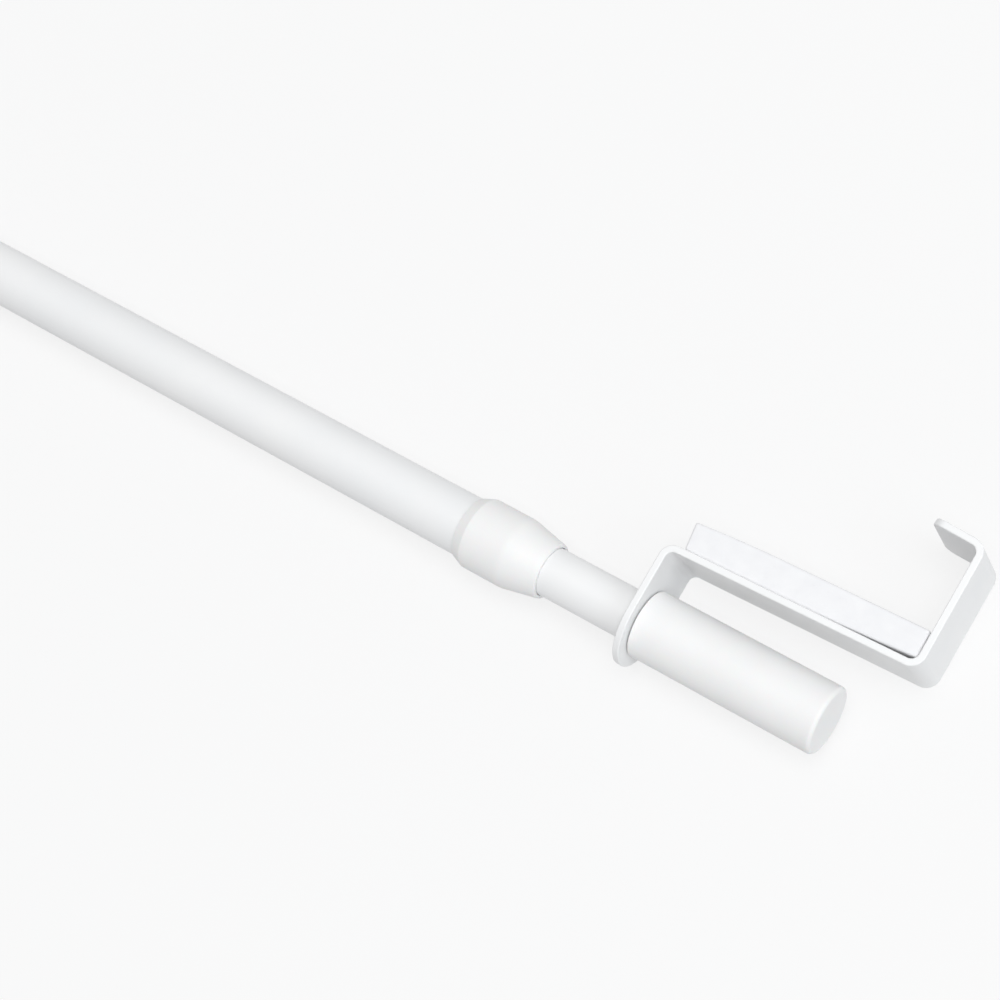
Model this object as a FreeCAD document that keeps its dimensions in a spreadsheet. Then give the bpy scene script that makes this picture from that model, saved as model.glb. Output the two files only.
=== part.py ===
"""Spring tension rod: two telescoping tubes, a pull spring inside and a hook bracket at each end.

X runs along the rod toward the sliding end, Y toward the window sash, Z up.
The origin lies on the rod's axis, halfway along the outer tube.
"""
import FreeCAD
import Part
import Sketcher
import math
import os
import re

DIMENSIONS = {
    # tubes
    "outer_dia": 16.0,
    "outer_wall": 0.6,
    "outer_len": 262.0,
    "inner_dia": 13.0,
    "inner_wall": 0.5,
    "travel": 100.0,
    "stop_gap": 0.5,
    # radial play of a pressed joint, of a sliding joint and of the eye on its neck
    "press_play": 0.05,
    "slide_play": 0.15,
    "eye_play": 0.2,
    # guide collar on the outer tube's mouth
    "collar_dia": 19.2,
    "collar_seat": 13.0,
    "collar_nose": 11.8,
    "collar_lead": 3.0,
    "lead_dia": 16.8,
    "collar_taper": 10.3,
    "nose_dia": 14.9,
    "lead_ease": 0.2,
    "taper_round": 9.0,
    "nose_ease": 0.4,
    "neck_show": 26.4,
    # end caps
    "cap_dia": 17.8,
    "cap_depth": 46.7,
    "cap_end": 4.4,
    "cap_gap": 0.3,
    "cap_round": 1.1,
    "rim_ease": 0.5,
    # hook brackets, bent from one strip
    "strip_width": 24.0,
    "strip_thick": 1.8,
    "bend_radius": 2.0,
    "arm_offset": 17.1,
    "arm_lean": 1.5,
    "arm_reach": 66.8,
    "hook_depth": 35.3,
    "lip_len": 14.3,
    "lip_flare": 3.0,
    "lip_round": 3.0,
    # foam pads
    "pad_bend_gap": 1.1,
    "pad_hook_gap": 0.3,
    "pad_thick": 8.0,
    "pad_width": 23.0,
    "pad_round": 1.0,
    # spring and the two plugs that hold it
    "spring_wire": 0.85,
    "spring_turns": 22.0,
    "spring_play": 0.225,
    "spring_rest": 0.3,
    "stub_dia": 10.2,
    "stub_len": 14.0,
    "guide_len": 40.0,
    "guide_land": 8.0,
    "guide_waist": 11.6,
    "spigot_len": 15.0,
    "end_spigot": 20.0,
    "shoulder_len": 4.0,
    "left_neck": 10.0,
}

DERIVED = {
    # stations along the rod
    "mouth_x": "=outer_len / 2",
    "eye_x": "=mouth_x + collar_nose + neck_show + strip_thick",
    "slider_x": "=mouth_x - stop_gap - travel",
    "left_eye_x": "=-mouth_x - shoulder_len - left_neck - strip_thick",
    # radii
    "outer_rad": "=outer_dia / 2",
    "outer_bore": "=outer_dia / 2 - outer_wall",
    "inner_rad": "=inner_dia / 2",
    "inner_bore": "=inner_dia / 2 - inner_wall",
    # the strip's outside bend and its eye
    "bend_outside": "=bend_radius + strip_thick",
    "half_strip": "=strip_width / 2",
    "lip_y": "=arm_offset + hook_depth",
    # the cap over its whole length, and the pad on the flat between the strip's two bends
    "cap_len": "=cap_depth + cap_end",
    "pad_start": "=bend_radius + pad_bend_gap",
    "pad_stop": "=arm_reach - bend_outside - pad_hook_gap",
    "pad_len": "=(pad_stop - pad_start) / cos(arm_lean * 1deg)",
    # spring between the two plugs
    "spring_dia": "=stub_dia + spring_wire + 2 * spring_play",
    "spring_from": "=-mouth_x + end_spigot + spring_wire / 2 + spring_rest",
    "spring_to": "=slider_x - guide_len - spring_wire / 2 - spring_rest",
    "spring_span": "=spring_to - spring_from",
}

TURNED_END = FreeCAD.Rotation(FreeCAD.Vector(0, 1, 0), 180)
SPRING_AXIS = FreeCAD.Rotation(FreeCAD.Vector(0, 1, 0), 90)

# flats round the spring's wire, and straight runs in one of its turns
WIRE_SIDES = 6
TURN_STEPS = 10

# how near two measures lie that are the same
TOUCH = 1e-4

doc = FreeCAD.newDocument("spring_tension_rod")


def build_sheet():
    """Put every driving size in the sheet, then the sizes that follow from them."""
    sheet = doc.addObject("Spreadsheet::Sheet", "params")
    row = 1
    for name, value in list(DIMENSIONS.items()) + list(DERIVED.items()):
        sheet.set(f"A{row}", name)
        sheet.set(f"B{row}", str(value))
        sheet.setAlias(f"B{row}", name)
        row += 1
    doc.recompute()
    return sheet


def bound(expression):
    """Point the plain names of an expression at the sheet."""
    def point(match):
        word = match.group()
        return f"params.{word}" if word in DIMENSIONS or word in DERIVED else word
    return re.sub("[a-z_]+", point, expression)


def new_body(name):
    body = doc.addObject("PartDesign::Body", name)
    body.Label = name
    return body


def new_sketch(body, name, plane):
    sketch = body.newObject("Sketcher::SketchObject", name)
    planes = [item for item in body.Origin.OriginFeatures if item.Role == plane]
    sketch.AttachmentSupport = [(planes[0], "")]
    sketch.MapMode = "FlatFace"
    return sketch


def arc_between(start, end, radius, turn):
    """A short arc from start to end; turn is 1 to run anticlockwise and -1 to run clockwise."""
    chord = end - start
    middle = (start + end) * 0.5
    height = math.sqrt(max(radius ** 2 - (chord.Length / 2) ** 2, 0.0))
    across = FreeCAD.Vector(-chord.y, chord.x, 0)
    across.normalize()
    centre = middle + across * height * turn
    first = math.atan2(start.y - centre.y, start.x - centre.x)
    last = math.atan2(end.y - centre.y, end.x - centre.x)
    if turn < 0:
        first, last = last, first
    circle = Part.Circle(centre, FreeCAD.Vector(0, 0, 1), radius)
    return Part.ArcOfCircle(circle, first, last)


def draw_outline(sketch, corners):
    """A closed outline. A corner is (x, y), or (x, y, radius, turn) where an arc leaves it."""
    points = []
    for corner in corners:
        x = sketch.evalExpression(bound(corner[0]))
        y = sketch.evalExpression(bound(corner[1]))
        points.append(FreeCAD.Vector(float(x), float(y), 0))
    ends = []
    rounds = {}
    for index, corner in enumerate(corners):
        start = points[index]
        end = points[(index + 1) % len(points)]
        if len(corner) == 2:
            edge = sketch.addGeometry(Part.LineSegment(start, end))
            ends.append((edge, 1, 2))
            continue
        rounds[index] = float(sketch.evalExpression(bound(corner[2])))
        edge = sketch.addGeometry(arc_between(start, end, rounds[index], corner[3]))
        ends.append((edge, 1, 2) if corner[3] > 0 else (edge, 2, 1))
    for index, (edge, _, last) in enumerate(ends):
        follow, begin, _ = ends[(index + 1) % len(ends)]
        sketch.addConstraint(Sketcher.Constraint("Coincident", edge, last, follow, begin))
    for index, corner in enumerate(corners):
        edge, first, _ = ends[index]
        hold_point(sketch, index, edge, first, points[index], corner)
        if index in rounds:
            number = sketch.addConstraint(Sketcher.Constraint("Radius", edge, rounds[index]))
            sketch.renameConstraint(number, f"round{index}")
            sketch.setExpression(f"Constraints.round{index}", bound(corner[2]))


def hold_point(sketch, index, edge, point, spot, corner):
    """Hold one corner at its bound distances from the sketch's origin."""
    for axis, value, text in (("X", spot.x, corner[0]), ("Y", spot.y, corner[1])):
        number = sketch.addConstraint(
            Sketcher.Constraint(f"Distance{axis}", -1, 1, edge, point, value)
        )
        sketch.renameConstraint(number, f"at{axis}{index}")
        sketch.setExpression(f"Constraints.at{axis}{index}", bound(text))


def draw_circle(sketch, radius):
    circle = Part.Circle(FreeCAD.Vector(0, 0, 0), FreeCAD.Vector(0, 0, 1), 1.0)
    edge = sketch.addGeometry(circle)
    sketch.addConstraint(Sketcher.Constraint("Coincident", edge, 3, -1, 1))
    number = sketch.addConstraint(Sketcher.Constraint("Radius", edge, 1.0))
    sketch.renameConstraint(number, "size")
    sketch.setExpression("Constraints.size", bound(radius))


def turned_body(name, corners):
    """A body turned about its X axis from an outline of (station, radius) corners."""
    body = new_body(name)
    sketch = new_sketch(body, f"{name}_outline", "XY_Plane")
    draw_outline(sketch, corners)
    turn = body.newObject("PartDesign::Revolution", f"{name}_turn")
    turn.Profile = sketch
    turn.ReferenceAxis = (sketch, ["H_Axis"])
    turn.Angle = 360
    doc.recompute()
    return body


def ring_edges(feature, station, radius):
    """Names of a turned solid's round edges at a station and radius."""
    names = []
    for number, edge in enumerate(feature.Shape.Edges, start=1):
        box = edge.BoundBox
        near_station = abs(box.XMin - station) < TOUCH and abs(box.XMax - station) < TOUCH
        if near_station and abs(box.YMax - radius) < TOUCH:
            names.append(f"Edge{number}")
    return names


def round_edges(body, name, edges, radius):
    base = body.Tip
    fillet = body.newObject("PartDesign::Fillet", name)
    fillet.Base = (base, edges)
    fillet.setExpression("Radius", bound(radius))
    body.Tip = fillet
    doc.recompute()
    return fillet


def place(item, x_text, y_text=None, rotation=None):
    """Set a sub-part at its bound station, turned end for end where it is the far one."""
    if rotation is not None:
        item.Placement = FreeCAD.Placement(FreeCAD.Vector(0, 0, 0), rotation)
    item.setExpression(".Placement.Base.x", bound(x_text))
    if y_text is not None:
        item.setExpression(".Placement.Base.y", bound(y_text))


def size(name):
    return float(sheet.get(name))


def build_outer_tube():
    corners = [
        ("-outer_len / 2", "outer_bore"),
        ("outer_len / 2", "outer_bore"),
        ("outer_len / 2", "outer_rad"),
        ("-outer_len / 2", "outer_rad"),
    ]
    return turned_body("outer_tube", corners)


def build_inner_tube():
    length = "eye_x + cap_gap + cap_depth - slider_x - press_play"
    corners = [
        ("press_play", "inner_bore"),
        (length, "inner_bore"),
        (length, "inner_rad"),
        ("press_play", "inner_rad"),
    ]
    body = turned_body("inner_tube", corners)
    place(body, "slider_x")
    return body


def build_guide_collar():
    """Local zero is the outer tube's mouth, which meets the step inside the collar."""
    lead_slope = "(collar_dia - lead_dia) / 2 / collar_lead"
    corners = [
        ("-collar_seat", "outer_rad + press_play"),
        ("press_play", "outer_rad + press_play"),
        ("press_play", "inner_rad + slide_play"),
        ("collar_nose", "inner_rad + slide_play"),
        ("collar_nose", "nose_dia / 2 - nose_ease"),
        ("collar_nose - nose_ease", "nose_dia / 2"),
        ("collar_nose - collar_taper", "collar_dia / 2"),
        ("-collar_seat + collar_lead + lead_ease", "collar_dia / 2"),
        ("-collar_seat + collar_lead - lead_ease", f"collar_dia / 2 - lead_ease * {lead_slope}"),
        ("-collar_seat", "lead_dia / 2"),
    ]
    body = turned_body("guide_collar", corners)
    taper_station = size("collar_nose") - size("collar_taper")
    taper_edge = ring_edges(body.Tip, taper_station, size("collar_dia") / 2)
    round_edges(body, "collar_taper_fillet", taper_edge, "taper_round")
    place(body, "mouth_x")
    return body


def build_slider_plug():
    """Local zero is the inner tube's hidden end; the spring's stub points to -X."""
    corners = [
        ("-guide_len - stub_len", "0"),
        ("spigot_len", "0"),
        ("spigot_len", "inner_bore - press_play"),
        ("0", "inner_bore - press_play"),
        ("0", "outer_bore - slide_play"),
        ("-guide_land", "outer_bore - slide_play"),
        ("-guide_land", "guide_waist / 2"),
        ("-guide_len + guide_land", "guide_waist / 2"),
        ("-guide_len + guide_land", "outer_bore - slide_play"),
        ("-guide_len", "outer_bore - slide_play"),
        ("-guide_len", "stub_dia / 2"),
        ("-guide_len - stub_len", "stub_dia / 2"),
    ]
    body = turned_body("slider_plug", corners)
    place(body, "slider_x")
    return body


def build_end_plug():
    """Local zero is the outer tube's far mouth; the neck points to -X and the spring's stub to +X."""
    neck_end = "-shoulder_len - left_neck - strip_thick - cap_gap - cap_depth + press_play"
    corners = [
        (neck_end, "0"),
        ("end_spigot + stub_len", "0"),
        ("end_spigot + stub_len", "stub_dia / 2"),
        ("end_spigot", "stub_dia / 2"),
        ("end_spigot", "outer_bore - press_play"),
        ("-press_play", "outer_bore - press_play"),
        ("-press_play", "outer_rad"),
        ("-shoulder_len", "outer_rad"),
        ("-shoulder_len", "inner_rad"),
        (neck_end, "inner_rad"),
    ]
    body = turned_body("end_plug", corners)
    place(body, "-mouth_x")
    return body


def build_end_cap(name, station, rotation):
    """Local zero is the eye plate's outer face. Two flats follow the round of the closed end's edge."""
    end = "cap_gap + cap_len"
    rim = "cap_dia / 2"
    halfway = "cap_round * (1 - cos(45deg))"
    corners = [
        ("cap_gap", "inner_rad + press_play"),
        ("cap_gap + cap_depth", "inner_rad + press_play"),
        ("cap_gap + cap_depth", "0"),
        (end, "0"),
        (end, f"{rim} - cap_round"),
        (f"{end} - {halfway}", f"{rim} - {halfway}"),
        (f"{end} - cap_round", rim),
        ("cap_gap + rim_ease", rim),
        ("cap_gap", f"{rim} - rim_ease"),
    ]
    body = turned_body(name, corners)
    place(body, station, rotation=rotation)
    return body


def strip_corners():
    """The bent strip seen from above: eye plate, leaning arm, leg and flared lip, outer side first."""
    rise = "arm_lean * 1deg"
    flare = "lip_flare * 1deg"
    first_y = (
        f"arm_offset + bend_radius * (1 - sin({rise})) * tan({rise}) - bend_radius * cos({rise})"
    )
    hook_x = "arm_reach - bend_outside"
    arm_end = f"arm_offset + ({hook_x} + bend_outside * sin({rise})) * tan({rise})"
    hook_y = f"{arm_end} + bend_outside * cos({rise})"
    lip_root_y = "lip_y - bend_outside"
    lip_run = f"(lip_len - bend_outside + bend_outside * sin({flare}))"
    lip_rise = f"{lip_run} * tan({flare})"

    def round_first(radius):
        return f"bend_radius - {radius} * sin({rise})", f"{first_y} + {radius} * cos({rise})"

    def round_hook(radius):
        return f"{hook_x} + {radius} * sin({rise})", f"{hook_y} - {radius} * cos({rise})"

    def round_lip(radius):
        return f"{hook_x} + {radius} * sin({flare})", f"{lip_root_y} + {radius} * cos({flare})"

    outer_lip = round_lip("bend_outside")
    inner_lip = round_lip("bend_radius")
    return [
        ("0", "0"),
        ("0", first_y, "bend_radius", -1),
        round_first("bend_radius"),
        round_hook("bend_outside") + ("bend_outside", 1),
        ("arm_reach", hook_y),
        ("arm_reach", lip_root_y, "bend_outside", 1),
        outer_lip,
        (f"{outer_lip[0]} - {lip_run}", f"{outer_lip[1]} + {lip_rise}"),
        (f"{inner_lip[0]} - {lip_run}", f"{inner_lip[1]} + {lip_rise}"),
        inner_lip + ("bend_radius", -1),
        ("arm_reach - strip_thick", lip_root_y),
        ("arm_reach - strip_thick", hook_y, "bend_radius", -1),
        round_hook("bend_radius"),
        round_first("bend_outside") + ("bend_outside", 1),
        ("-strip_thick", first_y),
        ("-strip_thick", "0"),
    ]


def cut_through(body, name, sketch):
    pocket = body.newObject("PartDesign::Pocket", name)
    pocket.Profile = sketch
    pocket.Type = "ThroughAll"
    pocket.SideType = "Two sides"
    pocket.Type2 = "ThroughAll"
    doc.recompute()
    return pocket


def lip_end_edges(feature):
    """The two short edges across the strip's thickness at the lip's free end."""
    names = []
    for number, edge in enumerate(feature.Shape.Edges, start=1):
        box = edge.BoundBox
        at_side = box.ZLength < TOUCH and abs(abs(box.ZMin) - size("half_strip")) < TOUCH
        across = abs(edge.Length - size("strip_thick")) < TOUCH
        if at_side and across and box.YMin > size("arm_offset") + size("bend_outside"):
            names.append(f"Edge{number}")
    return names


def build_bracket(name, station, rotation):
    """Local zero is the centre of the eye on the plate's outer face."""
    body = new_body(name)
    sketch = new_sketch(body, f"{name}_strip_outline", "XY_Plane")
    draw_outline(sketch, strip_corners())
    strip = body.newObject("PartDesign::Pad", f"{name}_strip")
    strip.Profile = sketch
    strip.SideType = "Symmetric"
    strip.setExpression("Length", bound("strip_width"))
    doc.recompute()
    end_sketch = new_sketch(body, f"{name}_round_end_outline", "YZ_Plane")
    end_corners = [
        ("bend_radius", "half_strip"),
        ("0", "half_strip", "half_strip", 1),
        ("-half_strip", "0", "half_strip", 1),
        ("0", "-half_strip"),
        ("bend_radius", "-half_strip"),
    ]
    draw_outline(end_sketch, end_corners)
    round_end = body.newObject("PartDesign::Pad", f"{name}_round_end")
    round_end.Profile = end_sketch
    round_end.Reversed = True
    round_end.setExpression("Length", bound("strip_thick"))
    doc.recompute()
    eye = new_sketch(body, f"{name}_eye_outline", "YZ_Plane")
    draw_circle(eye, "inner_rad + eye_play")
    cut_through(body, f"{name}_eye", eye)
    round_edges(body, f"{name}_lip_fillet", lip_end_edges(body.Tip), "lip_round")
    place(body, station, rotation=rotation)
    return body


def build_pad(name, station, rotation):
    """A foam block on the inner side of the leaning arm, with soft edges toward the sash."""
    rise = "arm_lean * 1deg"
    near_x = "pad_start"
    near_y = f"arm_offset + pad_start * tan({rise}) + strip_thick / cos({rise})"
    along = (f"pad_len * cos({rise})", f"pad_len * sin({rise})")
    across = (f"pad_thick * sin({rise})", f"pad_thick * cos({rise})")
    corners = [
        (near_x, near_y),
        (f"{near_x} + {along[0]}", f"{near_y} + {along[1]}"),
        (f"{near_x} + {along[0]} - {across[0]}", f"{near_y} + {along[1]} + {across[1]}"),
        (f"{near_x} - {across[0]}", f"{near_y} + {across[1]}"),
    ]
    body = new_body(name)
    sketch = new_sketch(body, f"{name}_outline", "XY_Plane")
    draw_outline(sketch, corners)
    block = body.newObject("PartDesign::Pad", f"{name}_block")
    block.Profile = sketch
    block.SideType = "Symmetric"
    block.setExpression("Length", bound("pad_width"))
    doc.recompute()
    lean = math.radians(size("arm_lean"))
    facing = FreeCAD.Vector(-math.sin(lean), math.cos(lean), 0)
    front = size("arm_offset") * math.cos(lean) + size("strip_thick") + size("pad_thick")
    edges = []
    for number, edge in enumerate(block.Shape.Edges, start=1):
        if all(facing.dot(corner.Point) > front - TOUCH for corner in edge.Vertexes):
            edges.append(f"Edge{number}")
    round_edges(body, f"{name}_fillet", edges, "pad_round")
    place(body, station, rotation=rotation)
    return body


def build_spring():
    """A coil of constant pitch, stretched between the two plugs, with flats on its wire and its turns."""
    radius = size("spring_dia") / 2 / math.cos(math.pi / TURN_STEPS)
    steps = round(size("spring_turns") * TURN_STEPS)
    line = []
    for step in range(steps + 1):
        angle = 2 * math.pi * step / TURN_STEPS
        height = size("spring_span") * step / steps
        line.append(FreeCAD.Vector(radius * math.cos(angle), radius * math.sin(angle), height))
    square_on = FreeCAD.Rotation(FreeCAD.Vector(0, 0, 1), line[1] - line[0])
    section = []
    for side in range(WIRE_SIDES + 1):
        angle = 2 * math.pi * side / WIRE_SIDES
        flat = FreeCAD.Vector(math.cos(angle), math.sin(angle), 0) * (size("spring_wire") / 2)
        section.append(line[0] + square_on.multVec(flat))
    sharp_corners = 1
    coil = doc.addObject("Part::Feature", "tension_spring")
    coil.Label = "tension_spring"
    coil.Shape = Part.makePolygon(line).makePipeShell(
        [Part.makePolygon(section)], True, False, sharp_corners
    )
    place(coil, "spring_from", rotation=SPRING_AXIS)
    return coil


def check(parts):
    """Stop before writing if anything failed to build."""
    doc.recompute()
    for item in doc.Objects:
        if "Invalid" in item.State or "Error" in item.State:
            raise RuntimeError(f"{item.Label} did not build: {item.State}")
    for part in parts:
        if part.Shape.isNull() or not part.Shape.isValid():
            raise RuntimeError(f"{part.Label} has no valid shape")
        if len(part.Shape.Solids) != 1:
            raise RuntimeError(f"{part.Label} is not one solid")


sheet = build_sheet()
parts = [
    build_outer_tube(),
    build_inner_tube(),
    build_guide_collar(),
    build_slider_plug(),
    build_end_plug(),
    build_spring(),
    build_end_cap("right_end_cap", "eye_x", None),
    build_end_cap("left_end_cap", "left_eye_x", TURNED_END),
    build_bracket("right_bracket", "eye_x", None),
    build_bracket("left_bracket", "left_eye_x", TURNED_END),
    build_pad("right_pad", "eye_x", None),
    build_pad("left_pad", "left_eye_x", TURNED_END),
]
check(parts)
os.makedirs("parts", exist_ok=True)
for part in parts:
    part.Shape.exportStep(f"parts/{part.Label}.step")
    print(part.Label, round(part.Shape.Volume, 1), part.Shape.BoundBox)
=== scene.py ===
"""Looks of a spring tension rod: enamelled steel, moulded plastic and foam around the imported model."""
import math

import bmesh
import bpy
from mathutils import Matrix, Vector


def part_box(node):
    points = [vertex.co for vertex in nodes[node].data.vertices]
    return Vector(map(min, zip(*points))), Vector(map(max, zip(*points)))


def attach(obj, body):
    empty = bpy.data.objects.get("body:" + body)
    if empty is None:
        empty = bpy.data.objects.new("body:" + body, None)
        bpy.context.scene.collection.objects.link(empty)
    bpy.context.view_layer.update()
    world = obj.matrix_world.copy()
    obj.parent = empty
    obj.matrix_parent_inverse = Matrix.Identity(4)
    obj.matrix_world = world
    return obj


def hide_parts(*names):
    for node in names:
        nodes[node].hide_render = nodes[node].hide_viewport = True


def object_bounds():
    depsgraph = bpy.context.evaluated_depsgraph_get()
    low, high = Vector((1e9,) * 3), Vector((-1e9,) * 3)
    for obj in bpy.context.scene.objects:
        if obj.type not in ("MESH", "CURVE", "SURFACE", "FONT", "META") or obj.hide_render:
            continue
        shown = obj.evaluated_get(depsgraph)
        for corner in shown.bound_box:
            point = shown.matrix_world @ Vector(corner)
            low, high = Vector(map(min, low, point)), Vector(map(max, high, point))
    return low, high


MM = 0.001

# tubes, end plug and caps: walls, fits, depths and turned edges that the boxes of the frame don't show
OUTER_WALL = 0.6 * MM
INNER_WALL = 0.5 * MM
SLIDE_PLAY = 0.15 * MM
PRESS_PLAY = 0.05 * MM
TUBE_ROUND = 0.15 * MM
PLUG_SPIGOT = 20.0 * MM
PLUG_SHOULDER = 4.0 * MM
STUB_RADIUS = 5.1 * MM
CAP_DEPTH = 46.7 * MM
CAP_ROUND = 1.1 * MM
RIM_ROUND = 0.5 * MM

# collar, from its lead cone on the outer tube to its nose on the inner one
COLLAR_LEAD = 3.0 * MM
COLLAR_STEP = 13.05 * MM
COLLAR_TAPER = 10.3 * MM
LEAD_RADIUS = 8.4 * MM
LEAD_ROUND = 1.0 * MM
TAPER_ROUND = 9.0 * MM
NOSE_RADIUS = 7.45 * MM
NOSE_ROUND = 0.45 * MM

# bracket: the strip, its eye and bends, the arm and the hook
STRIP_THICK = 1.8 * MM
STRIP_EDGE = 0.28 * MM
EYE_PLAY = 0.2 * MM
BEND_RADIUS = 2.0 * MM
ARM_OFFSET = 17.1 * MM
ARM_LEAN = math.radians(1.5)
HOOK_DEPTH = 35.3 * MM
LIP_LEN = 14.3 * MM
LIP_FLARE = math.radians(3.0)
LIP_ROUND = 3.0 * MM

# pad, and how the foam gives: it climbs the hook's bend, thins at its free end and is cut askew there
PAD_START = 3.1 * MM
PAD_THICK = 8.0 * MM
PAD_ROUND = 0.7 * MM
PAD_NESTLE = 0.15 * MM
PAD_CLIMB = 0.9 * MM
CLIMB_FROM = 0.45
PAD_THINNING = 0.8 * MM
THIN_UNTIL = 0.4
PAD_ASKEW = 0.7 * MM

# fineness of the meshes and how they are smoothed
TURN_SEGMENTS = 128
ROUND_SEGMENTS = 6
BEND_SEGMENTS = 18
EDGE_SEGMENTS = 3
EYE_STEPS = 16
EYE_SHARES = (1.0, 0.5, 0.0)
PAD_SEGMENTS = 4
PAD_SLICES = 40
ROUND_PROFILE = 0.5
AXIS_NEAR = 1e-7
SMOOTH_ANGLE = math.radians(35)
LARGE_FACE_WEIGHT = 100

# the values of a noise between which a material runs from its low look to its high one
NOISE_LOW = 0.3
NOISE_HIGH = 0.7

# the photograph's camera, in the frame of the part
CAMERA_PLACE = (0.36263, -0.0461, 0.53266)
CAMERA_RIGHT = (0.8046, 0.5051, -0.3123)
CAMERA_UP = (-0.4281, 0.8578, 0.2844)
CAMERA_BACK = (0.4116, -0.0951, 0.9064)
CAMERA_FOCUS_PX = 2330.5
CAMERA_NEAR = 10 * MM
PHOTO_WIDTH_PX = 1000
SENSOR_WIDTH = 36.0

# studio: the floor and its share of plain white, the sky, and lamps aimed at the rod's +X half
FLOOR_REACH = 6.0
FLOOR_GRAIN = 0.4
FLOOR_LOW = (0.745, 0.745, 0.745)
FLOOR_HIGH = (0.755, 0.755, 0.755)
FLOOR_WHITE = 0.76
SKY_COLOUR = (0.985, 0.992, 1.0, 1.0)
SKY_LEVEL = 0.42
LAMP_AIM = (0.1, 0, 0)
KEY_PLACE = (0.75, 0.15, 2.8)
KEY_SIZE = 2.0
KEY_LEVEL = 0.63
KEY_COLOUR = (1.0, 1.0, 1.0)
FILL_PLACE = (1.3, 0.0, 0.85)
FILL_SIZE = 0.8
FILL_LEVEL = 0.18
FILL_COLOUR = (0.9, 0.96, 1.0)

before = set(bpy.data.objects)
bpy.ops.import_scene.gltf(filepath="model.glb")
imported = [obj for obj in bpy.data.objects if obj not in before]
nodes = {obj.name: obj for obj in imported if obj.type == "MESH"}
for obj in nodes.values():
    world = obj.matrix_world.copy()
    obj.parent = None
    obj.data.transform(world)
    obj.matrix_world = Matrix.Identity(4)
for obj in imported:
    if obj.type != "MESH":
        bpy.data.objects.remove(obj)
cad_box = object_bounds()


def rounded(corners):
    """Points of a closed outline whose corners are (x, y, radius); a radius of 0 stays sharp."""
    points = []
    for index, (x, y, radius) in enumerate(corners):
        corner = Vector((x, y))
        if radius == 0:
            points.append(corner)
            continue
        before = (Vector(corners[index - 1][:2]) - corner).normalized()
        after = (Vector(corners[(index + 1) % len(corners)][:2]) - corner).normalized()
        half = before.angle(after) / 2
        centre = corner + (before + after).normalized() * radius / math.sin(half)
        first = corner + before * radius / math.tan(half) - centre
        last = corner + after * radius / math.tan(half) - centre
        start = math.atan2(first.y, first.x)
        sweep = math.atan2(first.cross(last), first.dot(last))
        for step in range(ROUND_SEGMENTS + 1):
            angle = start + sweep * step / ROUND_SEGMENTS
            points.append(centre + radius * Vector((math.cos(angle), math.sin(angle))))
    return points


def new_piece(name, shape, material):
    """An object made from a bmesh, shaded smooth but for its sharp edges."""
    bmesh.ops.recalc_face_normals(shape, faces=shape.faces)
    mesh = bpy.data.meshes.new(name)
    shape.to_mesh(mesh)
    shape.free()
    mesh.shade_smooth()
    mesh.set_sharp_from_angle(angle=SMOOTH_ANGLE)
    mesh.materials.append(material)
    piece = bpy.data.objects.new(name, mesh)
    bpy.context.scene.collection.objects.link(piece)
    return piece


def even_shading(piece):
    """Let large faces keep their own direction, so that flats look flat beside narrow rounds."""
    modifier = piece.modifiers.new("even_shading", "WEIGHTED_NORMAL")
    modifier.keep_sharp = True
    modifier.weight = LARGE_FACE_WEIGHT


def stand_for(piece, node, body):
    """Let a piece stand for a node of the frame, on the node's body."""
    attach(piece, body)
    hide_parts(node)


def lathe(name, corners, material):
    """A piece turned about the rod's axis from a closed outline of (station, radius, round) corners."""
    shape = bmesh.new()
    rings = []
    for station, radius in rounded(corners):
        if radius < AXIS_NEAR:
            rings.append([shape.verts.new((station, 0, 0))] * TURN_SEGMENTS)
            continue
        ring = []
        for step in range(TURN_SEGMENTS):
            angle = 2 * math.pi * step / TURN_SEGMENTS
            ring.append(shape.verts.new((station, radius * math.cos(angle), radius * math.sin(angle))))
        rings.append(ring)
    for ring, follow in zip(rings, rings[1:] + rings[:1]):
        for step in range(TURN_SEGMENTS):
            ahead = (step + 1) % TURN_SEGMENTS
            around = dict.fromkeys([ring[step], ring[ahead], follow[ahead], follow[step]])
            if len(around) > 2:
                shape.faces.new(list(around))
    piece = new_piece(name, shape, material)
    even_shading(piece)
    return piece


def node_tree(name):
    """A new material, its node tree and its main shader."""
    material = bpy.data.materials.new(name)
    material.use_nodes = True
    tree = material.node_tree
    return material, tree, tree.nodes["Principled BSDF"]


def grained(tree, kind, grain):
    """A texture whose grains measure about grain, in the object's own coordinates."""
    place = tree.nodes.new("ShaderNodeTexCoord")
    texture = tree.nodes.new(kind)
    texture.inputs["Scale"].default_value = 1.0 / grain
    tree.links.new(place.outputs["Object"], texture.inputs["Vector"])
    return texture


def noise(tree, grain, detail=3.0):
    texture = grained(tree, "ShaderNodeTexNoise", grain)
    texture.inputs["Detail"].default_value = detail
    return texture


def vary_colour(tree, shader, texture, low, high):
    """Let a texture run the shader's colour between two colours."""
    ramp = tree.nodes.new("ShaderNodeValToRGB")
    first, last = ramp.color_ramp.elements
    first.position = NOISE_LOW
    first.color = (*low, 1.0)
    last.position = NOISE_HIGH
    last.color = (*high, 1.0)
    tree.links.new(texture.outputs[0], ramp.inputs["Fac"])
    tree.links.new(ramp.outputs["Color"], shader.inputs["Base Color"])


def vary_roughness(tree, shader, texture, low, high):
    """Let a texture run the shader's roughness between two numbers."""
    scale = tree.nodes.new("ShaderNodeMapRange")
    scale.inputs["From Min"].default_value = NOISE_LOW
    scale.inputs["From Max"].default_value = NOISE_HIGH
    scale.inputs["To Min"].default_value = low
    scale.inputs["To Max"].default_value = high
    tree.links.new(texture.outputs[0], scale.inputs["Value"])
    tree.links.new(scale.outputs["Result"], shader.inputs["Roughness"])


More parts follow.
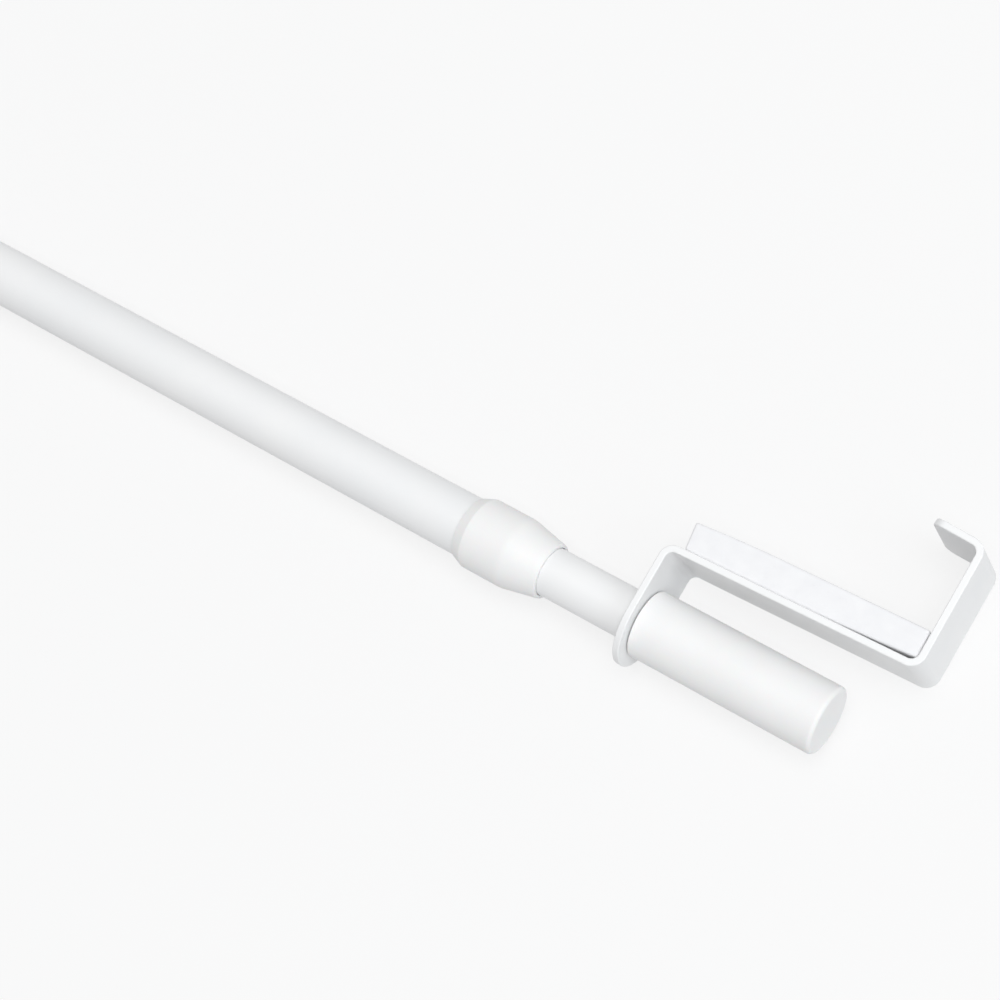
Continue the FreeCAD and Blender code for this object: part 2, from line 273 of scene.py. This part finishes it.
def bump(tree, shader, texture, height, strength):
    """Let a texture raise and sink the surface in the shading."""
    relief = tree.nodes.new("ShaderNodeBump")
    relief.inputs["Strength"].default_value = strength
    relief.inputs["Distance"].default_value = height
    tree.links.new(texture.outputs[0], relief.inputs["Height"])
    tree.links.new(relief.outputs["Normal"], shader.inputs["Normal"])


def enamel():
    """White stoved enamel on steel: smooth and fairly glossy, faintly clouded."""
    material, tree, shader = node_tree("white_enamel")
    cloud = noise(tree, grain=18 * MM)
    vary_colour(tree, shader, cloud, low=(0.86, 0.865, 0.87), high=(0.885, 0.885, 0.885))
    vary_roughness(tree, shader, noise(tree, grain=6 * MM), low=0.38, high=0.46)
    return material


def moulded_plastic():
    """White moulded plastic: satin, very finely grained."""
    material, tree, shader = node_tree("white_plastic")
    cloud = noise(tree, grain=14 * MM)
    vary_colour(tree, shader, cloud, low=(0.86, 0.858, 0.855), high=(0.88, 0.878, 0.876))
    vary_roughness(tree, shader, noise(tree, grain=3 * MM), low=0.5, high=0.6)
    shader.inputs["Subsurface Weight"].default_value = 0.08
    shader.inputs["Subsurface Scale"].default_value = 0.8 * MM
    mould_grain = noise(tree, grain=0.35 * MM, detail=2.0)
    bump(tree, shader, mould_grain, height=0.012 * MM, strength=0.4)
    return material


def foam():
    """Closed-cell white foam: dull, with fine cells cut open on its faces."""
    material, tree, shader = node_tree("white_foam")
    cloud = noise(tree, grain=4 * MM)
    vary_colour(tree, shader, cloud, low=(0.84, 0.84, 0.855), high=(0.875, 0.875, 0.885))
    shader.inputs["Roughness"].default_value = 0.95
    shader.inputs["Sheen Weight"].default_value = 0.15
    shader.inputs["Sheen Roughness"].default_value = 0.6
    cells = grained(tree, "ShaderNodeTexVoronoi", grain=0.55 * MM)
    bump(tree, shader, cells, height=0.04 * MM, strength=0.4)
    return material


def spring_steel():
    """Drawn spring wire: bare grey steel, a little uneven."""
    material, tree, shader = node_tree("spring_steel")
    shader.inputs["Metallic"].default_value = 1.0
    patches = noise(tree, grain=1.5 * MM)
    vary_colour(tree, shader, patches, low=(0.5, 0.5, 0.51), high=(0.62, 0.62, 0.63))
    vary_roughness(tree, shader, patches, low=0.28, high=0.42)
    return material


def build_tube(name, node, body, wall, material):
    low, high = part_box(node)
    bore = high.z - wall
    corners = [
        (low.x, bore, TUBE_ROUND),
        (high.x, bore, TUBE_ROUND),
        (high.x, high.z, TUBE_ROUND),
        (low.x, high.z, TUBE_ROUND),
    ]
    stand_for(lathe(name, corners, material), node, body)


def build_collar(material):
    low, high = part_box("guide_collar")
    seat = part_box("outer_tube")[1].z + PRESS_PLAY
    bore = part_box("inner_tube")[1].z + SLIDE_PLAY
    corners = [
        (low.x, seat, 0),
        (low.x + COLLAR_STEP, seat, 0),
        (low.x + COLLAR_STEP, bore, 0),
        (high.x, bore, PRESS_PLAY),
        (high.x, NOSE_RADIUS, NOSE_ROUND),
        (high.x - COLLAR_TAPER, high.z, TAPER_ROUND),
        (low.x + COLLAR_LEAD, high.z, LEAD_ROUND),
        (low.x, LEAD_RADIUS, PRESS_PLAY),
    ]
    stand_for(lathe("collar", corners, material), "guide_collar", "rod")


def build_end_plug(material):
    low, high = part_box("end_plug")
    tube_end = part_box("outer_tube")[0].x
    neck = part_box("inner_tube")[1].z
    spigot = high.z - OUTER_WALL - PRESS_PLAY
    corners = [
        (low.x, 0, 0),
        (high.x, 0, 0),
        (high.x, STUB_RADIUS, TUBE_ROUND),
        (tube_end + PLUG_SPIGOT, STUB_RADIUS, 0),
        (tube_end + PLUG_SPIGOT, spigot, TUBE_ROUND),
        (tube_end - PRESS_PLAY, spigot, 0),
        (tube_end - PRESS_PLAY, high.z, TUBE_ROUND),
        (tube_end - PLUG_SHOULDER, high.z, RIM_ROUND),
        (tube_end - PLUG_SHOULDER, neck, TUBE_ROUND),
        (low.x, neck, TUBE_ROUND),
    ]
    stand_for(lathe("plug_end", corners, material), "end_plug", "rod")


def build_cap(name, node, body, way, material):
    """An end cap whose open end faces the rod; way is 1 at the +X end and -1 at the other."""
    low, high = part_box(node)
    mouth, end = (low.x, high.x) if way > 0 else (high.x, low.x)
    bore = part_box("inner_tube")[1].z + PRESS_PLAY
    corners = [
        (mouth, bore, TUBE_ROUND),
        (mouth + way * CAP_DEPTH, bore, 0),
        (mouth + way * CAP_DEPTH, 0, 0),
        (end, 0, 0),
        (end, high.z, CAP_ROUND),
        (mouth, high.z, RIM_ROUND),
    ]
    stand_for(lathe(name, corners, material), node, body)


def strip_path(reach, half):
    """The strip's middle line, eye plate to lip end, as stretches of (length, turn in radians)."""
    middle = BEND_RADIUS + STRIP_THICK / 2
    outside = BEND_RADIUS + STRIP_THICK
    eye_bend_y = (
        ARM_OFFSET
        + BEND_RADIUS * (1 - math.sin(ARM_LEAN)) * math.tan(ARM_LEAN)
        - BEND_RADIUS * math.cos(ARM_LEAN)
    )
    hook_x = reach - outside
    arm_end = ARM_OFFSET + (hook_x + outside * math.sin(ARM_LEAN)) * math.tan(ARM_LEAN)
    hook_y = arm_end + outside * math.cos(ARM_LEAN)
    arm = (hook_x - BEND_RADIUS + 2 * middle * math.sin(ARM_LEAN)) / math.cos(ARM_LEAN)
    leg = ARM_OFFSET + HOOK_DEPTH - outside - hook_y
    lip = (LIP_LEN - outside + outside * math.sin(LIP_FLARE)) / math.cos(LIP_FLARE)
    quarter = math.pi / 2
    return [
        (eye_bend_y - half, 0),
        (middle * (quarter - ARM_LEAN), ARM_LEAN - quarter),
        (arm, 0),
        (middle * (quarter - ARM_LEAN), quarter - ARM_LEAN),
        (leg, 0),
        (middle * (quarter - LIP_FLARE), quarter - LIP_FLARE),
        (lip - LIP_ROUND, 0),
    ]


def walk(path, start):
    """Rows along a path of straight runs and bends: the (point, heading) of each."""
    point = Vector(start)
    heading = math.pi / 2
    rows = [(point.copy(), heading)]
    for length, turn in path:
        steps = BEND_SEGMENTS if turn else 1
        for _ in range(steps):
            chord = length / steps
            if turn:
                radius = abs(length / turn)
                chord = 2 * radius * math.sin(abs(turn) / steps / 2)
            heading += turn / steps / 2
            point = point + chord * Vector((math.cos(heading), math.sin(heading)))
            heading += turn / steps / 2
            rows.append((point.copy(), heading))
    return rows


def strip_point(row, across, side):
    """A point of the bent strip: across is its height on the strip, side is 1 or -1 for its two faces."""
    point, heading = row
    out = Vector((-math.sin(heading), math.cos(heading))) * STRIP_THICK / 2 * side
    return point.x + out.x, point.y + out.y, across


def lip_end(row, half):
    """The lip's rounded end, from its upper corner to its lower one: rows, each with a height."""
    point, heading = row
    ahead = Vector((math.cos(heading), math.sin(heading)))
    steps = list(range(1, ROUND_SEGMENTS + 1))
    for way, order in ((1, steps), (-1, steps[::-1])):
        for step in order:
            angle = math.pi / 2 * step / ROUND_SEGMENTS
            run = LIP_ROUND * math.sin(angle)
            across = way * (half - LIP_ROUND * (1 - math.cos(angle)))
            yield (point + ahead * run, heading), across


def eye_ring(shape, half, hole, side, first_line, share):
    """A loop round the eye between its hole (share 0) and the plate's outline (share 1)."""
    ring = []
    total = 4 * EYE_STEPS
    flat_side = -STRIP_THICK / 2 - side * STRIP_THICK / 2
    for step in range(total):
        angle = 2 * math.pi * step / total - math.pi / 4
        along = math.cos(angle)
        across = math.sin(angle)
        if share == 1.0 and step <= EYE_STEPS:
            ring.append(first_line[step])
            continue
        outer = half
        if along > 0:
            outer = half / max(abs(along), abs(across))
        radius = hole + (outer - hole) * share
        ring.append(shape.verts.new((flat_side, radius * along, radius * across)))
    return ring


def bridge(shape, loop, follow):
    """Faces between two loops with as many points each."""
    for step in range(len(loop)):
        ahead = (step + 1) % len(loop)
        shape.faces.new((loop[step], loop[ahead], follow[ahead], follow[step]))


def strip_face(shape, rows, half, hole, side):
    """One broad face of the bent strip; gives its outline and the edge of its eye, as loops of points."""
    columns = range(-EYE_STEPS // 2, EYE_STEPS // 2 + 1)
    heights = [math.tan(math.pi / 2 * column / EYE_STEPS) * half for column in columns]
    grid = [[shape.verts.new(strip_point(row, across, side)) for across in heights] for row in rows]
    tip = [shape.verts.new(strip_point(row, across, side)) for row, across in lip_end(rows[-1], half)]
    shape.faces.new(grid[-1] + tip)
    rings = [eye_ring(shape, half, hole, side, grid[0], share) for share in EYE_SHARES]
    for ring, inner in zip(rings, rings[1:]):
        bridge(shape, ring, inner)
    for line, follow in zip(grid, grid[1:]):
        for left in range(len(line) - 1):
            shape.faces.new((line[left], line[left + 1], follow[left + 1], follow[left]))
    upper_edge = [line[-1] for line in grid]
    lower_edge = [line[0] for line in grid]
    eye_end = rings[0][EYE_STEPS + 1:]
    return upper_edge + tip + lower_edge[::-1] + eye_end[::-1], rings[-1]


def build_bracket(name, node, body, place, material):
    """A strip cut flat with a round eye, then bent: built row by row along its middle line."""
    low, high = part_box(node)
    half = high.z
    reach = high.x - low.x - STRIP_THICK
    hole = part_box("inner_tube")[1].z + EYE_PLAY
    rows = walk(strip_path(reach, half), start=(-STRIP_THICK / 2, half))
    shape = bmesh.new()
    outline, eye = strip_face(shape, rows, half, hole, side=1)
    back_outline, back_eye = strip_face(shape, rows, half, hole, side=-1)
    bridge(shape, eye, back_eye)
    bridge(shape, outline, back_outline)
    piece = new_piece(name, shape, material)
    piece.matrix_world = place
    edges = piece.modifiers.new("soft_edges", "BEVEL")
    edges.width = STRIP_EDGE
    edges.segments = EDGE_SEGMENTS
    edges.limit_method = "ANGLE"
    edges.angle_limit = SMOOTH_ANGLE
    even_shading(piece)
    stand_for(piece, node, body)


def settle(point, length):
    """Move a point of a straight foam block to where the strip's bend and the glue hold it."""
    along = point.x / length
    out = point.y / PAD_THICK
    climb = PAD_CLIMB * max(0.0, (along - CLIMB_FROM) / (1 - CLIMB_FROM)) ** 2
    thinning = PAD_THINNING * max(0.0, 1 - along / THIN_UNTIL) ** 2
    askew = PAD_ASKEW * out * (1 - along) ** 4
    return Vector((point.x - askew, point.y + climb * (1 - out) - thinning * out, point.z))


def build_pad(name, node, body, place, material):
    """A foam block along the arm, pushed up against the leg, where it climbs the strip's bend."""
    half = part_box(node)[1].z
    # both brackets have the same size
    bracket_low, bracket_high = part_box("right_bracket")
    leg_face = bracket_high.x - bracket_low.x - 2 * STRIP_THICK
    length = (leg_face - PAD_NESTLE - PAD_START) / math.cos(ARM_LEAN)
    near_y = ARM_OFFSET + PAD_START * math.tan(ARM_LEAN) + STRIP_THICK / math.cos(ARM_LEAN)
    shape = bmesh.new()
    bmesh.ops.create_cube(shape, size=1.0)
    bmesh.ops.scale(shape, vec=(length, PAD_THICK, 2 * half), verts=shape.verts)
    bmesh.ops.translate(shape, vec=(length / 2, PAD_THICK / 2, 0), verts=shape.verts)
    bmesh.ops.bevel(
        shape,
        geom=list(shape.edges),
        offset=PAD_ROUND,
        segments=PAD_SEGMENTS,
        profile=ROUND_PROFILE,
        affect="EDGES",
    )
    for step in range(1, PAD_SLICES):
        station = Vector((length * step / PAD_SLICES, 0, 0))
        geometry = list(shape.verts) + list(shape.edges) + list(shape.faces)
        bmesh.ops.bisect_plane(shape, geom=geometry, plane_co=station, plane_no=(1, 0, 0))
    for vertex in shape.verts:
        vertex.co = settle(vertex.co, length)
    piece = new_piece(name, shape, material)
    near = Matrix.Translation((PAD_START, near_y, 0))
    piece.matrix_world = place @ near @ Matrix.Rotation(ARM_LEAN, 4, "Z")
    even_shading(piece)
    stand_for(piece, node, body)


def white_share(tree):
    """The floor's share of plain white where it is seen or mirrored; none in the light it throws back."""
    path = tree.nodes.new("ShaderNodeLightPath")
    seen = path.outputs["Is Camera Ray"]
    for name in ("Is Glossy Ray", "Is Transmission Ray"):
        either = tree.nodes.new("ShaderNodeMath")
        either.operation = "MAXIMUM"
        tree.links.new(seen, either.inputs[0])
        tree.links.new(path.outputs[name], either.inputs[1])
        seen = either.outputs["Value"]
    share = tree.nodes.new("ShaderNodeMath")
    share.operation = "MULTIPLY"
    share.inputs[1].default_value = FLOOR_WHITE
    tree.links.new(seen, share.inputs[0])
    return share.outputs["Value"]


def build_floor(level):
    """A pale floor that shows mostly plain white and keeps the object's shadow."""
    material, tree, shader = node_tree("pale_floor")
    vary_colour(tree, shader, noise(tree, FLOOR_GRAIN), FLOOR_LOW, FLOOR_HIGH)
    shader.inputs["Roughness"].default_value = 0.9
    shader.inputs["Specular IOR Level"].default_value = 0.1
    white = tree.nodes.new("ShaderNodeEmission")
    mix = tree.nodes.new("ShaderNodeMixShader")
    tree.links.new(white_share(tree), mix.inputs["Fac"])
    tree.links.new(shader.outputs["BSDF"], mix.inputs[1])
    tree.links.new(white.outputs["Emission"], mix.inputs[2])
    tree.links.new(mix.outputs["Shader"], tree.nodes["Material Output"].inputs["Surface"])
    shape = bmesh.new()
    bmesh.ops.create_grid(shape, x_segments=1, y_segments=1, size=FLOOR_REACH)
    floor = new_piece("floor", shape, material)
    floor.location.z = level


def add_light(name, place, size, level, colour):
    """A soft lamp; level is how bright it makes a white surface that faces it at the aim."""
    throw = Vector(LAMP_AIM) - Vector(place)
    data = bpy.data.lights.new(name, "AREA")
    data.shape = "DISK"
    data.size = size
    data.color = colour
    data.energy = level * math.pi ** 2 * throw.length_squared
    light = bpy.data.objects.new(name, data)
    light.location = place
    light.rotation_euler = throw.to_track_quat("-Z", "Y").to_euler()
    bpy.context.scene.collection.objects.link(light)


def build_world():
    world = bpy.data.worlds.new("studio")
    world.use_nodes = True
    sky = world.node_tree.nodes["Background"]
    sky.inputs["Color"].default_value = SKY_COLOUR
    sky.inputs["Strength"].default_value = SKY_LEVEL
    bpy.context.scene.world = world


def build_camera():
    data = bpy.data.cameras.new("photo_camera")
    data.sensor_fit = "HORIZONTAL"
    data.sensor_width = SENSOR_WIDTH
    data.lens = CAMERA_FOCUS_PX / PHOTO_WIDTH_PX * SENSOR_WIDTH
    data.clip_start = CAMERA_NEAR
    camera = bpy.data.objects.new("photo_camera", data)
    turn = Matrix((CAMERA_RIGHT, CAMERA_UP, CAMERA_BACK)).transposed().to_4x4()
    camera.matrix_world = Matrix.Translation(CAMERA_PLACE) @ turn
    bpy.context.scene.collection.objects.link(camera)
    bpy.context.scene.camera = camera


white_enamel = enamel()
white_plastic = moulded_plastic()
white_foam = foam()

build_tube("tube_outer", "outer_tube", "rod", OUTER_WALL, white_enamel)
build_tube("tube_inner", "inner_tube", "slider", INNER_WALL, white_enamel)
build_collar(white_plastic)
build_end_plug(white_plastic)
build_cap("cap_right", "right_end_cap", "slider", 1, white_plastic)
build_cap("cap_left", "left_end_cap", "rod", -1, white_plastic)

right_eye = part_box("right_bracket")[0].x + STRIP_THICK
left_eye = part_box("left_bracket")[1].x - STRIP_THICK
right_place = Matrix.Translation((right_eye, 0, 0))
left_place = Matrix.Translation((left_eye, 0, 0)) @ Matrix.Rotation(math.pi, 4, "Y")
build_bracket("bracket_right", "right_bracket", "right_hook", right_place, white_enamel)
build_bracket("bracket_left", "left_bracket", "left_hook", left_place, white_enamel)
build_pad("pad_right", "right_pad", "right_hook", right_place, white_foam)
build_pad("pad_left", "left_pad", "left_hook", left_place, white_foam)

for node, material in (("slider_plug", white_plastic), ("tension_spring", spring_steel())):
    nodes[node].data.materials.clear()
    nodes[node].data.materials.append(material)

build_floor(cad_box[0][2])
build_world()
add_light("key", KEY_PLACE, KEY_SIZE, KEY_LEVEL, KEY_COLOUR)
add_light("fill", FILL_PLACE, FILL_SIZE, FILL_LEVEL, FILL_COLOUR)
build_camera()
bpy.context.scene.view_settings.view_transform = "Standard"
